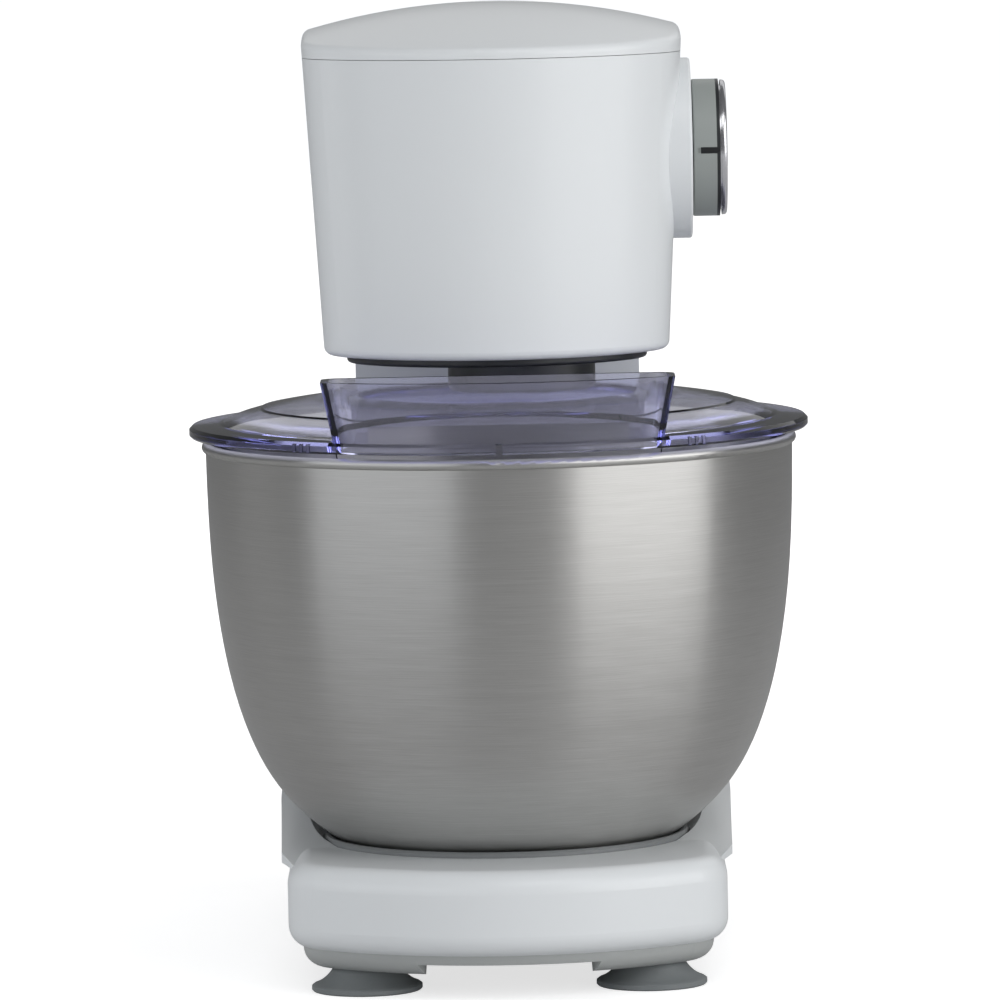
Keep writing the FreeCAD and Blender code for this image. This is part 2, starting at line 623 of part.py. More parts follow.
def chute_outline(half_width, front, rear_y, z):
    """Plan of the chute: its front follows the lid's edge."""
    side_y = BOWL_Y - math.sqrt(front * front - half_width * half_width)
    corner = 6.0
    left = Vector(-half_width, side_y, z)
    right = Vector(half_width, side_y, z)
    short = corner * (1.0 - math.sqrt(0.5))
    edges = [
        Part.Arc(left, Vector(0, BOWL_Y - front, z), right).toShape(),
        Part.makeLine(right, Vector(half_width, rear_y - corner, z)),
        Part.Arc(Vector(half_width, rear_y - corner, z),
                 Vector(half_width - short, rear_y - short, z),
                 Vector(half_width - corner, rear_y, z)).toShape(),
        Part.makeLine(Vector(half_width - corner, rear_y, z), Vector(corner - half_width, rear_y, z)),
        Part.Arc(Vector(corner - half_width, rear_y, z),
                 Vector(short - half_width, rear_y - short, z),
                 Vector(-half_width, rear_y - corner, z)).toShape(),
        Part.makeLine(Vector(-half_width, rear_y - corner, z), left),
    ]
    return Part.Wire(edges)


def chute_form(inset, low, high):
    """The chute's outside, or its inside when inset is the wall thickness."""
    wires = []
    for z in (low, high):
        share = (z - LID_FLANGE_Z) / (CHUTE_TOP_Z - LID_FLANGE_Z)
        half = 57.6 + 5.0 * share - inset
        wires.append(chute_outline(half, 110.9 + 2.6 * share - inset,
                                   BOWL_Y - 72.0 - inset, z))
    return Part.makeLoft(wires, True, True)


def make_lid():
    """Clear lid: flange over the rim, domed top with a round opening, and the chute."""
    low = LID_FLANGE_Z
    dome_form = lathe([(LID_RADIUS - 0.8, low), (LID_RADIUS, low + 0.8), (LID_RADIUS, low + 2.8),
                       (LID_RADIUS - 1.2, low + 4.0), (101.5, low + 4.8),
                       (94.6, low + 7.6, 86.6, low + 9.6), (86.0, low + 10.3),
                       (69.0, low + 12.8, LID_OPENING + 1.5, low + 14.1),
                       (LID_OPENING, low + 12.6), (LID_OPENING, low + 11.8),
                       (80.0, low + 11.4 - LID_SKIN, 99.2, low + 3.6), (99.2, low - 5.0),
                       (101.2, low - 5.0), (101.2, low)])
    lid = dome_form.cut(chute_form(0.0, low - 8.0, CHUTE_TOP_Z + 4.0))
    walls = chute_form(0.0, low, CHUTE_TOP_Z)
    walls = walls.cut(chute_form(CHUTE_WALL, low - 1.0, CHUTE_TOP_Z + 1.0))
    window = box(-46.0, 46.0, BOWL_Y - 90.0, BOWL_Y - 66.0, low - 2.0, low + 8.0)
    tab_slot = box(-1.2, 1.2, BOWL_Y - 116.0, BOWL_Y - 106.0, low - 1.0, low + 3.6)
    ribs = []
    for middle in (-128.4, -51.6):
        for step in (-1.6, 0.0, 1.6):
            ribs.append(sector(LID_RADIUS - 2.0, LID_RADIUS + 0.35, low + 0.4, 3.0, middle + step, 0.7))
    return lid.fuse(walls.cut(window)).multiFuse(ribs).cut(tab_slot)


save("mixing_bowl", make_bowl())
save("bowl_foot", make_bowl_foot())
save("bowl_lid", make_lid())


# ---------------------------------------------------------------- head
def head_outline(inset, z):
    half = HEAD_BOTTOM_HALF + (z - HEAD_BOTTOM_Z) * HEAD_LEAN - inset
    nose = 1.065 * half
    front = HEAD_FRONT_Y - (z - HEAD_BOTTOM_Z) * 0.03 + inset
    return nose_outline(half, nose, front + nose, 0.645 * half, HEAD_REAR_Y - inset, 18.0, z)


def head_prism(inset, low, high):
    return Part.makeLoft([head_outline(inset, low), head_outline(inset, high)], True, True)


def dome(drop):
    """Everything below the head's crowned top, lowered by drop."""
    across = 248.0
    half = 80.0
    sides = []
    for radius, sweep in ((CROWN_FRONT_RADIUS, -45.0), (CROWN_REAR_RADIUS, 30.0)):
        crown = HEAD_TOP_Z - drop
        edge = crown - (across - math.sqrt(across * across - half * half))
        low_left = Vector(-half, BOWL_Y, 140.0)
        low_right = Vector(half, BOWL_Y, 140.0)
        left = Vector(-half, BOWL_Y, edge)
        right = Vector(half, BOWL_Y, edge)
        wire = Part.Wire([Part.makeLine(low_left, left),
                          Part.Arc(left, Vector(0, BOWL_Y, crown), right).toShape(),
                          Part.makeLine(right, low_right), Part.makeLine(low_right, low_left)])
        hinge = Vector(0, BOWL_Y, HEAD_TOP_Z - radius)
        sides.append(Part.Face(wire).revolve(hinge, X_AXIS, -sweep))
    return sides[0].fuse(sides[1])


def around_the_crown(edge):
    """True for the edges where the crowned top meets the upright walls."""
    bounds = edge.BoundBox
    across_the_ridge = abs(bounds.YMin - BOWL_Y) < 0.01 and abs(bounds.YMax - BOWL_Y) < 0.01
    return bounds.ZMin > 300.0 and not across_the_ridge


def make_head_parts():
    """The white head shell with its neck and pivot barrel, and the lift-off top cover."""
    lower_z = HEAD_BOTTOM_Z
    outer = head_prism(0.0, lower_z, HEAD_TOP_Z + 5.0)
    outer = round_edges(outer, 3.0, flat_at(lower_z))
    outer = outer.common(dome(0.0))
    outer = round_edges(outer, CROWN_ROUND, around_the_crown)
    inner = head_prism(WALL, lower_z + WALL, HEAD_TOP_Z + 5.0).common(dome(WALL))
    over_seam = box(-90, 90, BOWL_Y - 120.0, CAP_REAR_Y, HEAD_SEAM_Z, HEAD_TOP_Z + 5.0)

    cap = outer.common(over_seam.translated(Vector(0, -0.2, 0.2)))
    cap_room = head_prism(2.4, HEAD_SEAM_Z - 1.0, HEAD_TOP_Z + 5.0).common(dome(2.4))
    cap_room = cap_room.common(box(-90, 90, BOWL_Y - 120, CAP_REAR_Y - 2.6, 300, 360))
    collar = tube(21.0, 18.6, 0, BOWL_Y, HEAD_SEAM_Z + 0.2, 18.0)
    cap = cap.cut(cap_room).fuse(collar.common(dome(1.0)))

    front_y = PIVOT_Y - BARREL_RADIUS
    rear_y = PIVOT_Y + BARREL_RADIUS
    width = NECK_HALF_WIDTH
    neck = box(-width, width, front_y, rear_y, PIVOT_Z, lower_z + 8.0)
    upright = [edge for edge in neck.Edges if edge.BoundBox.ZLength > 50.0
               and edge.BoundBox.YMin > PIVOT_Y]
    neck = neck.makeFillet(10.0, upright)
    barrel = rod(BARREL_RADIUS, -width, PIVOT_Y, PIVOT_Z, 2.0 * width, X_AXIS)
    neck = neck.common(box(-90, 90, front_y, rear_y, PIVOT_Z, 240)).fuse(barrel)
    room = width - WALL
    neck_room = box(-room, room, front_y + WALL, rear_y - WALL, PIVOT_Z, lower_z + 10.0)
    barrel_room = rod(BARREL_RADIUS - WALL, -room, PIVOT_Y, PIVOT_Z, 2.0 * room, X_AXIS)

    over_cap = inner.common(box(-90, 90, BOWL_Y - 120, CAP_REAR_Y + 0.5, HEAD_SEAM_Z - WALL, 360))
    inner = inner.cut(over_cap)
    shell = outer.cut(over_seam).fuse(neck)
    shell = shell.cut(inner.multiFuse([neck_room, barrel_room]))
    shell = shell.cut(plate_form(0.2, lower_z - 4.0, lower_z + WALL + 1.0))

    ledges = [box(side * 56.0 - 6.0, side * 56.0 + 6.0, MOTOR_Y - 9.0, MOTOR_Y + 9.0,
                  MOTOR_TOP_Z - 8.0, MOTOR_TOP_Z - 3.0).common(outer) for side in (-1, 1)]
    boss = [tube(12.0, 8.0, x, PIVOT_Y, PIVOT_Z, 10.0, X_AXIS) for x in (-width, width - 10.0)]
    bush_seat = rod(8.0, -width, PIVOT_Y, PIVOT_Z, 2.0 * width, X_AXIS)
    shell = shell.cut(bush_seat).multiFuse(boss + ledges)
    slot = sector_x(BARREL_RADIUS - 6.0, BARREL_RADIUS + 2.0, 5.6, -98.0, -40.0)
    coupling_hole = rod(16.0, 0, BOWL_Y, HEAD_SEAM_Z - 6.0, 10.0)
    spindle_hole = rod(8.0, 50.0, KNOB_Y, KNOB_Z, 30.0, X_AXIS)
    shell = shell.cut(slot.multiFuse([coupling_hole, spindle_hole]))

    disc = rod(DISC_RADIUS, 56.0, KNOB_Y, KNOB_Z, DISC_FACE_X - 56.0, X_AXIS)
    disc = round_edges(disc, 1.0, lambda edge: edge.BoundBox.XMin > DISC_FACE_X - 0.1)
    disc = disc.cut(outer).cut(rod(8.0, 50.0, KNOB_Y, KNOB_Z, 40.0, X_AXIS))
    return shell, cap, disc


def sector_x(inner, outer, half_width, first, last):
    """Part of a ring about the tilt axis, between two angles from +Y towards +Z."""
    ring = tube(outer, inner, -half_width, PIVOT_Y, PIVOT_Z, 2.0 * half_width, X_AXIS)
    corners = [(0, 0)]
    for degrees in (first, (first + last) / 2.0, last):
        angle = math.radians(degrees)
        corners.append((3.0 * outer * math.cos(angle), 3.0 * outer * math.sin(angle)))
    wedge = prism(corners, Vector(2.0 * half_width, 0, 0),
                  lambda y, z: Vector(-half_width, PIVOT_Y + y, PIVOT_Z + z))
    return ring.common(wedge)


def plate_form(gap, low, high):
    """Plan of the black plate under the head, grown by gap."""
    half = HEAD_BOTTOM_HALF - 8.0 + gap
    nose = 1.065 * half
    outline = nose_outline(half, nose, HEAD_FRONT_Y + 8.0 - gap + nose, 0.645 * half,
                           PIVOT_Y - BARREL_RADIUS - 4.0 + gap, 8.0, low)
    return Part.Face(outline).extrude(Vector(0, 0, high - low))


def make_underplate():
    plate = plate_form(0.0, PLATE_BOTTOM_Z, HEAD_BOTTOM_Z + WALL)
    plate = round_edges(plate, 1.2, flat_at(PLATE_BOTTOM_Z))
    flange = plate_form(3.0, HEAD_BOTTOM_Z + WALL, HEAD_BOTTOM_Z + WALL + 1.6)
    plate = plate.fuse(flange)
    holes = [rod(CARRIER_OPENING, 0, BOWL_Y, 200.0, 60.0)]
    holes += [rod(1.7, x, y, 200.0, 60.0) for x, y in PLATE_SCREWS]
    holes += [rod(3.4, x, y, 200.0, PLATE_BOTTOM_Z + 2.2 - 200.0) for x, y in PLATE_SCREWS]
    return plate.cut(holes[0].multiFuse(holes[1:]))


head_shell, top_cover, knob_disc = make_head_parts()
save("head_shell", head_shell)
save("top_cover", top_cover)
save("knob_escutcheon", knob_disc)
save("head_underplate", make_underplate())
save("underplate_screws", Part.Compound([screw(x, y, PLATE_BOTTOM_Z + 0.2, 9.0)
                                         for x, y in PLATE_SCREWS]))


# ---------------------------------------------------------------- planetary drive
AXIS = Vector(0, BOWL_Y, 0)
PLANET = polar(ORBIT_RADIUS, ORBIT_ANGLE)
LAYSHAFT = polar(LAYSHAFT_OFFSET, 90.0)


def chamber(radius, low, high):
    """Gear chamber: two circles, about the bowl axis and about the layshaft."""
    main = rod(radius, AXIS.x, AXIS.y, low, high - low)
    side = rod(radius, LAYSHAFT.x, LAYSHAFT.y, low, high - low)
    link = box(-radius, radius, AXIS.y, LAYSHAFT.y, low, high)
    return main.multiFuse([side, link])


def make_gearbox_housing():
    """Die-cast cup for the ring gear, with a deck and the lower gear chamber above."""
    cup = tube(HOUSING_RADIUS, 49.0, 0, BOWL_Y, CUP_Z, DECK_Z - CUP_Z)
    deck = rod(HOUSING_RADIUS, 0, BOWL_Y, DECK_Z, 3.0).fuse(chamber(31.0, DECK_Z, DECK_Z + 3.0))
    walls = chamber(31.0, DECK_Z + 3.0, HIGH_GEAR_Z - 1.5)
    walls = walls.cut(chamber(28.0, DECK_Z + 3.0, HIGH_GEAR_Z - 1.5))
    bore = rod(HUB_RADIUS + RUN, 0, BOWL_Y, DECK_Z, 3.0)
    pin_bore = rod(4.0, LAYSHAFT.x, LAYSHAFT.y, DECK_Z, 3.0)
    return cup.multiFuse([deck, walls]).cut(bore.fuse(pin_bore))


def make_gearbox_cover():
    low = HIGH_GEAR_Z - 1.5
    walls = chamber(31.0, low, COVER_Z).cut(chamber(28.0, low, COVER_Z))
    lid = chamber(31.0, COVER_Z, COVER_Z + 3.0)
    boss = tube(11.0, SHAFT_RADIUS + RUN, 0, BOWL_Y, COVER_Z + 3.0, 3.0)
    bores = rod(SHAFT_RADIUS + RUN, 0, BOWL_Y, COVER_Z, 3.0)
    bores = bores.fuse(rod(4.0, LAYSHAFT.x, LAYSHAFT.y, COVER_Z, 3.0))
    return walls.fuse(lid).cut(bores).fuse(boss)


def make_ring_gear():
    """Fixed internal gear with a tooth space facing the planet's first tooth."""
    pitch_radius = RING_TEETH * RING_MODULE / 2.0
    spaces = gear_outline(RING_TEETH, pitch_radius - 1.3, pitch_radius + 1.9, 0.78, 0.46,
                          ORBIT_ANGLE, AXIS, RING_Z)
    blank = rod(49.0, 0, BOWL_Y, RING_Z, GEAR_WIDTH)
    return blank.cut(Part.Face(spaces).extrude(Vector(0, 0, GEAR_WIDTH)))


def make_planet_carrier():
    """Round black carrier: lower disc, hub sleeve and upper arm hold the planet shaft."""
    disc = rod(CARRIER_OPENING - 0.7, 0, BOWL_Y, PLATE_BOTTOM_Z + 0.4, 6.0)
    disc = round_edges(disc, 0.8, flat_at(PLATE_BOTTOM_Z + 0.4))
    sleeve = rod(HUB_RADIUS, 0, BOWL_Y, PLATE_BOTTOM_Z + 3.0, LOW_GEAR_Z + GEAR_WIDTH + 1.0
                 - PLATE_BOTTOM_Z - 3.0)
    arm_z = RING_Z + GEAR_WIDTH + 0.8
    arm = rod(9.0, PLANET.x, PLANET.y, arm_z, 4.0)
    outer = polar(ORBIT_RADIUS, ORBIT_ANGLE)
    across = Vector(-(outer.y - AXIS.y), outer.x, 0).normalize() * 9.0
    base = Vector(AXIS.x, AXIS.y, arm_z)
    top = Vector(outer.x, outer.y, arm_z)
    bar = Part.Face(Part.makePolygon([base + across, top + across, top - across, base - across,
                                      base + across])).extrude(Vector(0, 0, 4.0))
    carrier = disc.multiFuse([sleeve, arm, bar])
    pilot = rod(PINION_BORE + RUN, 0, BOWL_Y, 247.0, 20.0)
    shaft_bore = rod(SHAFT_RADIUS + RUN, PLANET.x, PLANET.y, 200.0, 60.0)
    return carrier.cut(pilot.fuse(shaft_bore))


def make_tool_socket():
    """Dark hub under the carrier with the socket that takes a tool's shank."""
    low = PLATE_BOTTOM_Z - 10.8
    hub = rod(26.5, PLANET.x, PLANET.y, low, 10.2)
    hub = round_edges(hub, 1.6, flat_at(low))
    socket = rod(4.4, PLANET.x, PLANET.y, low - 1.0, 9.0)
    cross = box(PLANET.x - 7.0, PLANET.x + 7.0, PLANET.y - 1.6, PLANET.y + 1.6, low - 1.0, low + 6.0)
    return hub.cut(socket.fuse(cross))


save("gearbox_housing", make_gearbox_housing())
save("gearbox_cover", make_gearbox_cover())
save("ring_gear", make_ring_gear())
save("planet_carrier", make_planet_carrier())
save("carrier_gear", gear(WHEEL_TEETH, FINE_MODULE, CARRIER_PHASE, AXIS, LOW_GEAR_Z, GEAR_WIDTH,
                          HUB_RADIUS))
save("planet_gear", gear(PLANET_TEETH, RING_MODULE, ORBIT_ANGLE, PLANET, RING_Z + 0.4,
                         GEAR_WIDTH - 0.8, SHAFT_RADIUS))
save("planet_shaft", rod(SHAFT_RADIUS, PLANET.x, PLANET.y, SOCKET_TOP,
                         PLANET_SHAFT_TOP - SOCKET_TOP))
save("tool_socket", make_tool_socket())
save("layshaft_pinion", gear(PINION_TEETH, FINE_MODULE, 270.0, LAYSHAFT, LOW_GEAR_Z, GEAR_WIDTH,
                             3.0))
save("layshaft_wheel", gear(WHEEL_TEETH, FINE_MODULE, 270.0 + 180.0 / WHEEL_TEETH, LAYSHAFT,
                            HIGH_GEAR_Z, HIGH_GEAR_WIDTH, 3.0))
save("layshaft_pin", rod(3.0, LAYSHAFT.x, LAYSHAFT.y, DECK_Z, COVER_Z + 3.0 - DECK_Z))
save("layshaft_bushes", Part.Compound([tube(4.0, 3.0 + RUN, LAYSHAFT.x, LAYSHAFT.y, z, 3.0)
                                       for z in (DECK_Z, COVER_Z)]))


# ---------------------------------------------------------------- motor and belt
def make_coupling():
    """Four-toothed dog on the top of the blender shaft."""
    dog = rod(13.0, 0, BOWL_Y, 322.0, 4.0)
    teeth = [sector(8.0, 13.0, 326.0, 3.2, angle, 30.0) for angle in (0, 90, 180, 270)]
    return dog.multiFuse(teeth).cut(rod(SHAFT_RADIUS, 0, BOWL_Y, 322.0, 3.0))


def make_pulley(radius, y, bore):
    """Flat belt pulley with a rim at each edge."""
    z = PULLEY_Z
    hub = rod(radius, 0, y, z, BELT_WIDTH + 2.0)
    rims = [rod(radius + 1.6, 0, y, edge, 1.0) for edge in (z - 1.0, z + BELT_WIDTH + 2.0)]
    pulley = hub.multiFuse(rims)
    if radius > 20.0:
        for angle in range(0, 360, 60):
            place = polar(radius * 0.58, angle, y)
            pulley = pulley.cut(rod(radius * 0.2, place.x, place.y, z - 2.0, BELT_WIDTH + 6.0))
    return pulley.cut(rod(bore, 0, y, z - 2.0, BELT_WIDTH + 6.0))


def belt_form(extra, low, high):
    """Outside of a belt loop round both pulleys, extra away from their faces."""
    big = PULLEY_RADIUS + extra
    small = MOTOR_PULLEY_RADIUS + extra
    rise = (big - small) / (MOTOR_Y - BOWL_Y)
    level = math.sqrt(1.0 - rise * rise)
    corners = [(big * level, BOWL_Y + big * rise), (small * level, MOTOR_Y + small * rise),
               (-small * level, MOTOR_Y + small * rise), (-big * level, BOWL_Y + big * rise)]
    height = Vector(0, 0, high - low)
    web = prism(corners, height, lambda x, y: Vector(x, y, low))
    ends = [rod(big, 0, BOWL_Y, low, high - low), rod(small, 0, MOTOR_Y, low, high - low)]
    return web.multiFuse(ends)


def make_belt():
    low = PULLEY_Z + 1.0
    high = low + BELT_WIDTH
    return belt_form(1.7, low, high).cut(belt_form(0.2, low, high))


def make_motor_frame():
    """Two end brackets joined by four posts outside the stator."""
    brackets = []
    for z in (MOTOR_BOTTOM_Z, MOTOR_TOP_Z - 3.0):
        plate = rod(MOTOR_RADIUS, 0, MOTOR_Y, z, 3.0)
        brackets.append(plate.cut(rod(7.0, 0, MOTOR_Y, z, 3.0)))
    length = MOTOR_TOP_Z - MOTOR_BOTTOM_Z - 6.0
    posts = [rod(2.0, polar(30.5, angle, MOTOR_Y).x, polar(30.5, angle, MOTOR_Y).y,
                 MOTOR_BOTTOM_Z + 3.0, length) for angle in (45, 135, 225, 315)]
    feet = [box(side * 42.0 - 14.0, side * 42.0 + 14.0, MOTOR_Y - 8.0, MOTOR_Y + 8.0,
                MOTOR_TOP_Z - 3.0, MOTOR_TOP_Z) for side in (-1, 1)]
    frame = brackets[0].multiFuse(brackets[1:] + posts + feet)
    return frame.cut(rod(7.0, 0, MOTOR_Y, MOTOR_TOP_Z - 4.0, 6.0))


def make_stator():
    core = tube(28.5, 20.4, 0, MOTOR_Y, 222.0, 34.0)
    flats = box(-28.0, 28.0, MOTOR_Y - 24.0, MOTOR_Y + 24.0, 222.0, 256.0)
    core = core.common(flats)
    coils = [box(side * 22.5 - 5.0, side * 22.5 + 5.0, MOTOR_Y - 12.0, MOTOR_Y + 12.0, 216.0, 262.0)
             for side in (-1, 1)]
    coils = [winding.cut(rod(20.4, 0, MOTOR_Y, 210.0, 60.0)) for winding in coils]
    return core.multiFuse(coils)


def make_rotor_core():
    core = rod(19.8, 0, MOTOR_Y, 223.0, 32.0)
    slots = []
    for number in range(12):
        place = polar(19.8, number * 30.0, MOTOR_Y)
        slots.append(rod(2.2, place.x, place.y, 223.0, 32.0))
    core = core.cut(slots[0].multiFuse(slots[1:]))
    commutator = rod(10.0, 0, MOTOR_Y, 256.5, 9.0)
    neck = rod(7.0, 0, MOTOR_Y, 255.0, 1.5)
    return core.multiFuse([commutator, neck]).cut(rod(3.0, 0, MOTOR_Y, 220.0, 60.0))


def make_fan():
    z = MOTOR_BOTTOM_Z + 4.0
    plate = rod(24.0, 0, MOTOR_Y, z, 1.5)
    blades = []
    for number in range(9):
        blade = box(8.0, 24.0, -0.8, 0.8, z + 1.5, z + 7.0)
        blade.rotate(Vector(0, 0, 0), Z_AXIS, number * 40.0)
        blade.translate(Vector(0, MOTOR_Y, 0))
        blades.append(blade)
    hub = rod(8.5, 0, MOTOR_Y, z, 7.0)
    return plate.multiFuse([hub] + blades).cut(rod(3.0, 0, MOTOR_Y, z - 1.0, 12.0))


def make_brush_holders():
    holders = []
    for y in (MOTOR_Y - 24.0, MOTOR_Y + 10.4):
        holders.append(box(-3.5, 3.5, y, y + 13.6, 257.5, 264.5))
    return Part.Compound(holders)


save("central_shaft", rod(PINION_BORE, 0, BOWL_Y, 248.0, COVER_Z - 250.0).fuse(
    rod(SHAFT_RADIUS, 0, BOWL_Y, COVER_Z - 2.0, 327.0 - COVER_Z)))
save("central_pinion", gear(PINION_TEETH, FINE_MODULE, 90.0, AXIS, HIGH_GEAR_Z, HIGH_GEAR_WIDTH,
                            PINION_BORE))
save("blender_coupling", make_coupling())
save("large_pulley", make_pulley(PULLEY_RADIUS, BOWL_Y, SHAFT_RADIUS))
save("motor_pulley", make_pulley(MOTOR_PULLEY_RADIUS, MOTOR_Y, 3.0))
save("drive_belt", make_belt())
save("motor_frame", make_motor_frame())
save("motor_bearings", Part.Compound([tube(7.0, 3.0 + RUN, 0, MOTOR_Y, z, 3.0)
                                      for z in (MOTOR_BOTTOM_Z, MOTOR_TOP_Z - 3.0)]))
save("stator", make_stator())
save("rotor_core", make_rotor_core())
save("rotor_shaft", rod(3.0, 0, MOTOR_Y, MOTOR_BOTTOM_Z - 1.0, PULLEY_Z + 13.0 - MOTOR_BOTTOM_Z))
save("cooling_fan", make_fan())
save("brush_holders", make_brush_holders())


# ---------------------------------------------------------------- speed knob
def make_knob():
    drum = rod(KNOB_RADIUS, DRUM_X, KNOB_Y, KNOB_Z, DRUM_LENGTH, X_AXIS)
    drum = round_edges(drum, 0.6, lambda edge: edge.BoundBox.XMax < DRUM_X + 0.1)
    line = box(DRUM_X + 1.6, DRUM_X + 12.0, KNOB_Y - KNOB_RADIUS - 1.0, KNOB_Y - KNOB_RADIUS + 1.2,
               KNOB_Z - 0.95, KNOB_Z + 0.95)
    return drum.cut(line).cut(rod(3.0, DRUM_X - 1.0, KNOB_Y, KNOB_Z, 20.0, X_AXIS))


def make_knob_cap():
    """Bright end cap on a narrower foot, which leaves a dark groove round the drum's end."""
    start = DRUM_X + DRUM_LENGTH
    foot = rod(KNOB_RADIUS - 2.2, start, KNOB_Y, KNOB_Z, 0.8, X_AXIS)
    ring = rod(KNOB_RADIUS - 0.4, start + 0.7, KNOB_Y, KNOB_Z, 1.8, X_AXIS)
    ring = round_edges(ring, 1.2, lambda edge: edge.BoundBox.XMin > start + 2.4)
    ring = ring.cut(rod(KNOB_RADIUS - 4.2, start + 1.9, KNOB_Y, KNOB_Z, 2.0, X_AXIS))
    return ring.fuse(foot)


def make_switch():
    body = box(47.5, 62.4, KNOB_Y - 16.0, KNOB_Y + 16.0, KNOB_Z - 4.0, KNOB_Z + 16.0)
    tabs = [box(46.8, 47.5, y, y + 4.0, KNOB_Z - 2.0, KNOB_Z + 12.0) for y in (KNOB_Y - 12.0,
                                                                              KNOB_Y + 8.0)]
    return body.multiFuse(tabs).cut(rod(3.0 + RUN, 50.0, KNOB_Y, KNOB_Z, 20.0, X_AXIS))


save("speed_knob", make_knob())
save("knob_cap", make_knob_cap())
save("knob_spindle", rod(3.0, 51.0, KNOB_Y, KNOB_Z, DRUM_X + DRUM_LENGTH - 51.0, X_AXIS))
save("rotary_switch", make_switch())
save("control_board", box(-58.0, -56.4, BOWL_Y + 58.0, BOWL_Y + 106.0, 236.0, 300.0))
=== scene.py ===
"""Looks of the stand mixer: materials, light and camera round the frame."""
import json
import math

import bpy
from mathutils import Matrix, Vector


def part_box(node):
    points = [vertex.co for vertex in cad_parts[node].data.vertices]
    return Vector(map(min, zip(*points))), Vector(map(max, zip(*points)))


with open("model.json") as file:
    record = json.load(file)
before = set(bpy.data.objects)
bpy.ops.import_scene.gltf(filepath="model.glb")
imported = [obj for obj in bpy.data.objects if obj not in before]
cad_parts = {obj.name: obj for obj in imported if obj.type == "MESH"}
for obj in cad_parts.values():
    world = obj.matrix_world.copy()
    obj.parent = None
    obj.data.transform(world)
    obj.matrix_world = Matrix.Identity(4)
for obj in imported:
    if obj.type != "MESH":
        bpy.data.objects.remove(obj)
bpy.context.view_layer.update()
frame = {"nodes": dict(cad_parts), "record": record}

NODES = frame["nodes"]

# ---------------------------------------------------------------- places, in metres
BOWL_LOW, BOWL_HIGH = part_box("mixing_bowl")
BOWL_AXIS_Y = (BOWL_LOW[1] + BOWL_HIGH[1]) / 2.0
LIGHT_TARGET = (0.0, BOWL_AXIS_Y, 0.18)

GROOVE_HALF_WIDTH = 0.00115           # knob: the groove across its rim, painted near-black as shade
GROOVE_START = 0.0026                 # knob: plain rim between the casing and the groove
STEP_DEPTH = 0.0012                   # knob: shadowed step behind the bright ring, painted near-black as shade

# ---------------------------------------------------------------- material settings
DRIFT_ENDS = (0.3, 0.7)               # noise values that take the two shades of a colour drift
BRUSH_STRETCH = (5.0, 4200.0, 2600.0)     # brush lines per radian, metre of height, metre of radius
BAND_STRETCH = (0.9, 420.0, 150.0)        # spun bands, likewise
BRUSH_SHARE = 0.8
BAND_SHARE = 0.2
MIX_FIRST, MIX_SECOND, MIX_RESULT = 6, 7, 2     # colour sockets of a Mix node

# ---------------------------------------------------------------- stage settings
FLOOR_SIZE = 12.0
FADE_START, FADE_END = 0.70, 1.05     # distances between which the floor turns to backdrop
GLOW_NEAR, GLOW_FAR = 0.2, 1.2        # what the floor gives off to the eye at those distances
ROOM_STRENGTH = 0.15
BACKDROP_EXTRA = 0.90                 # added where the eye sees the room directly
CLEAR_EXTRA = 0.52                    # added where the eye sees the room through clear plastic


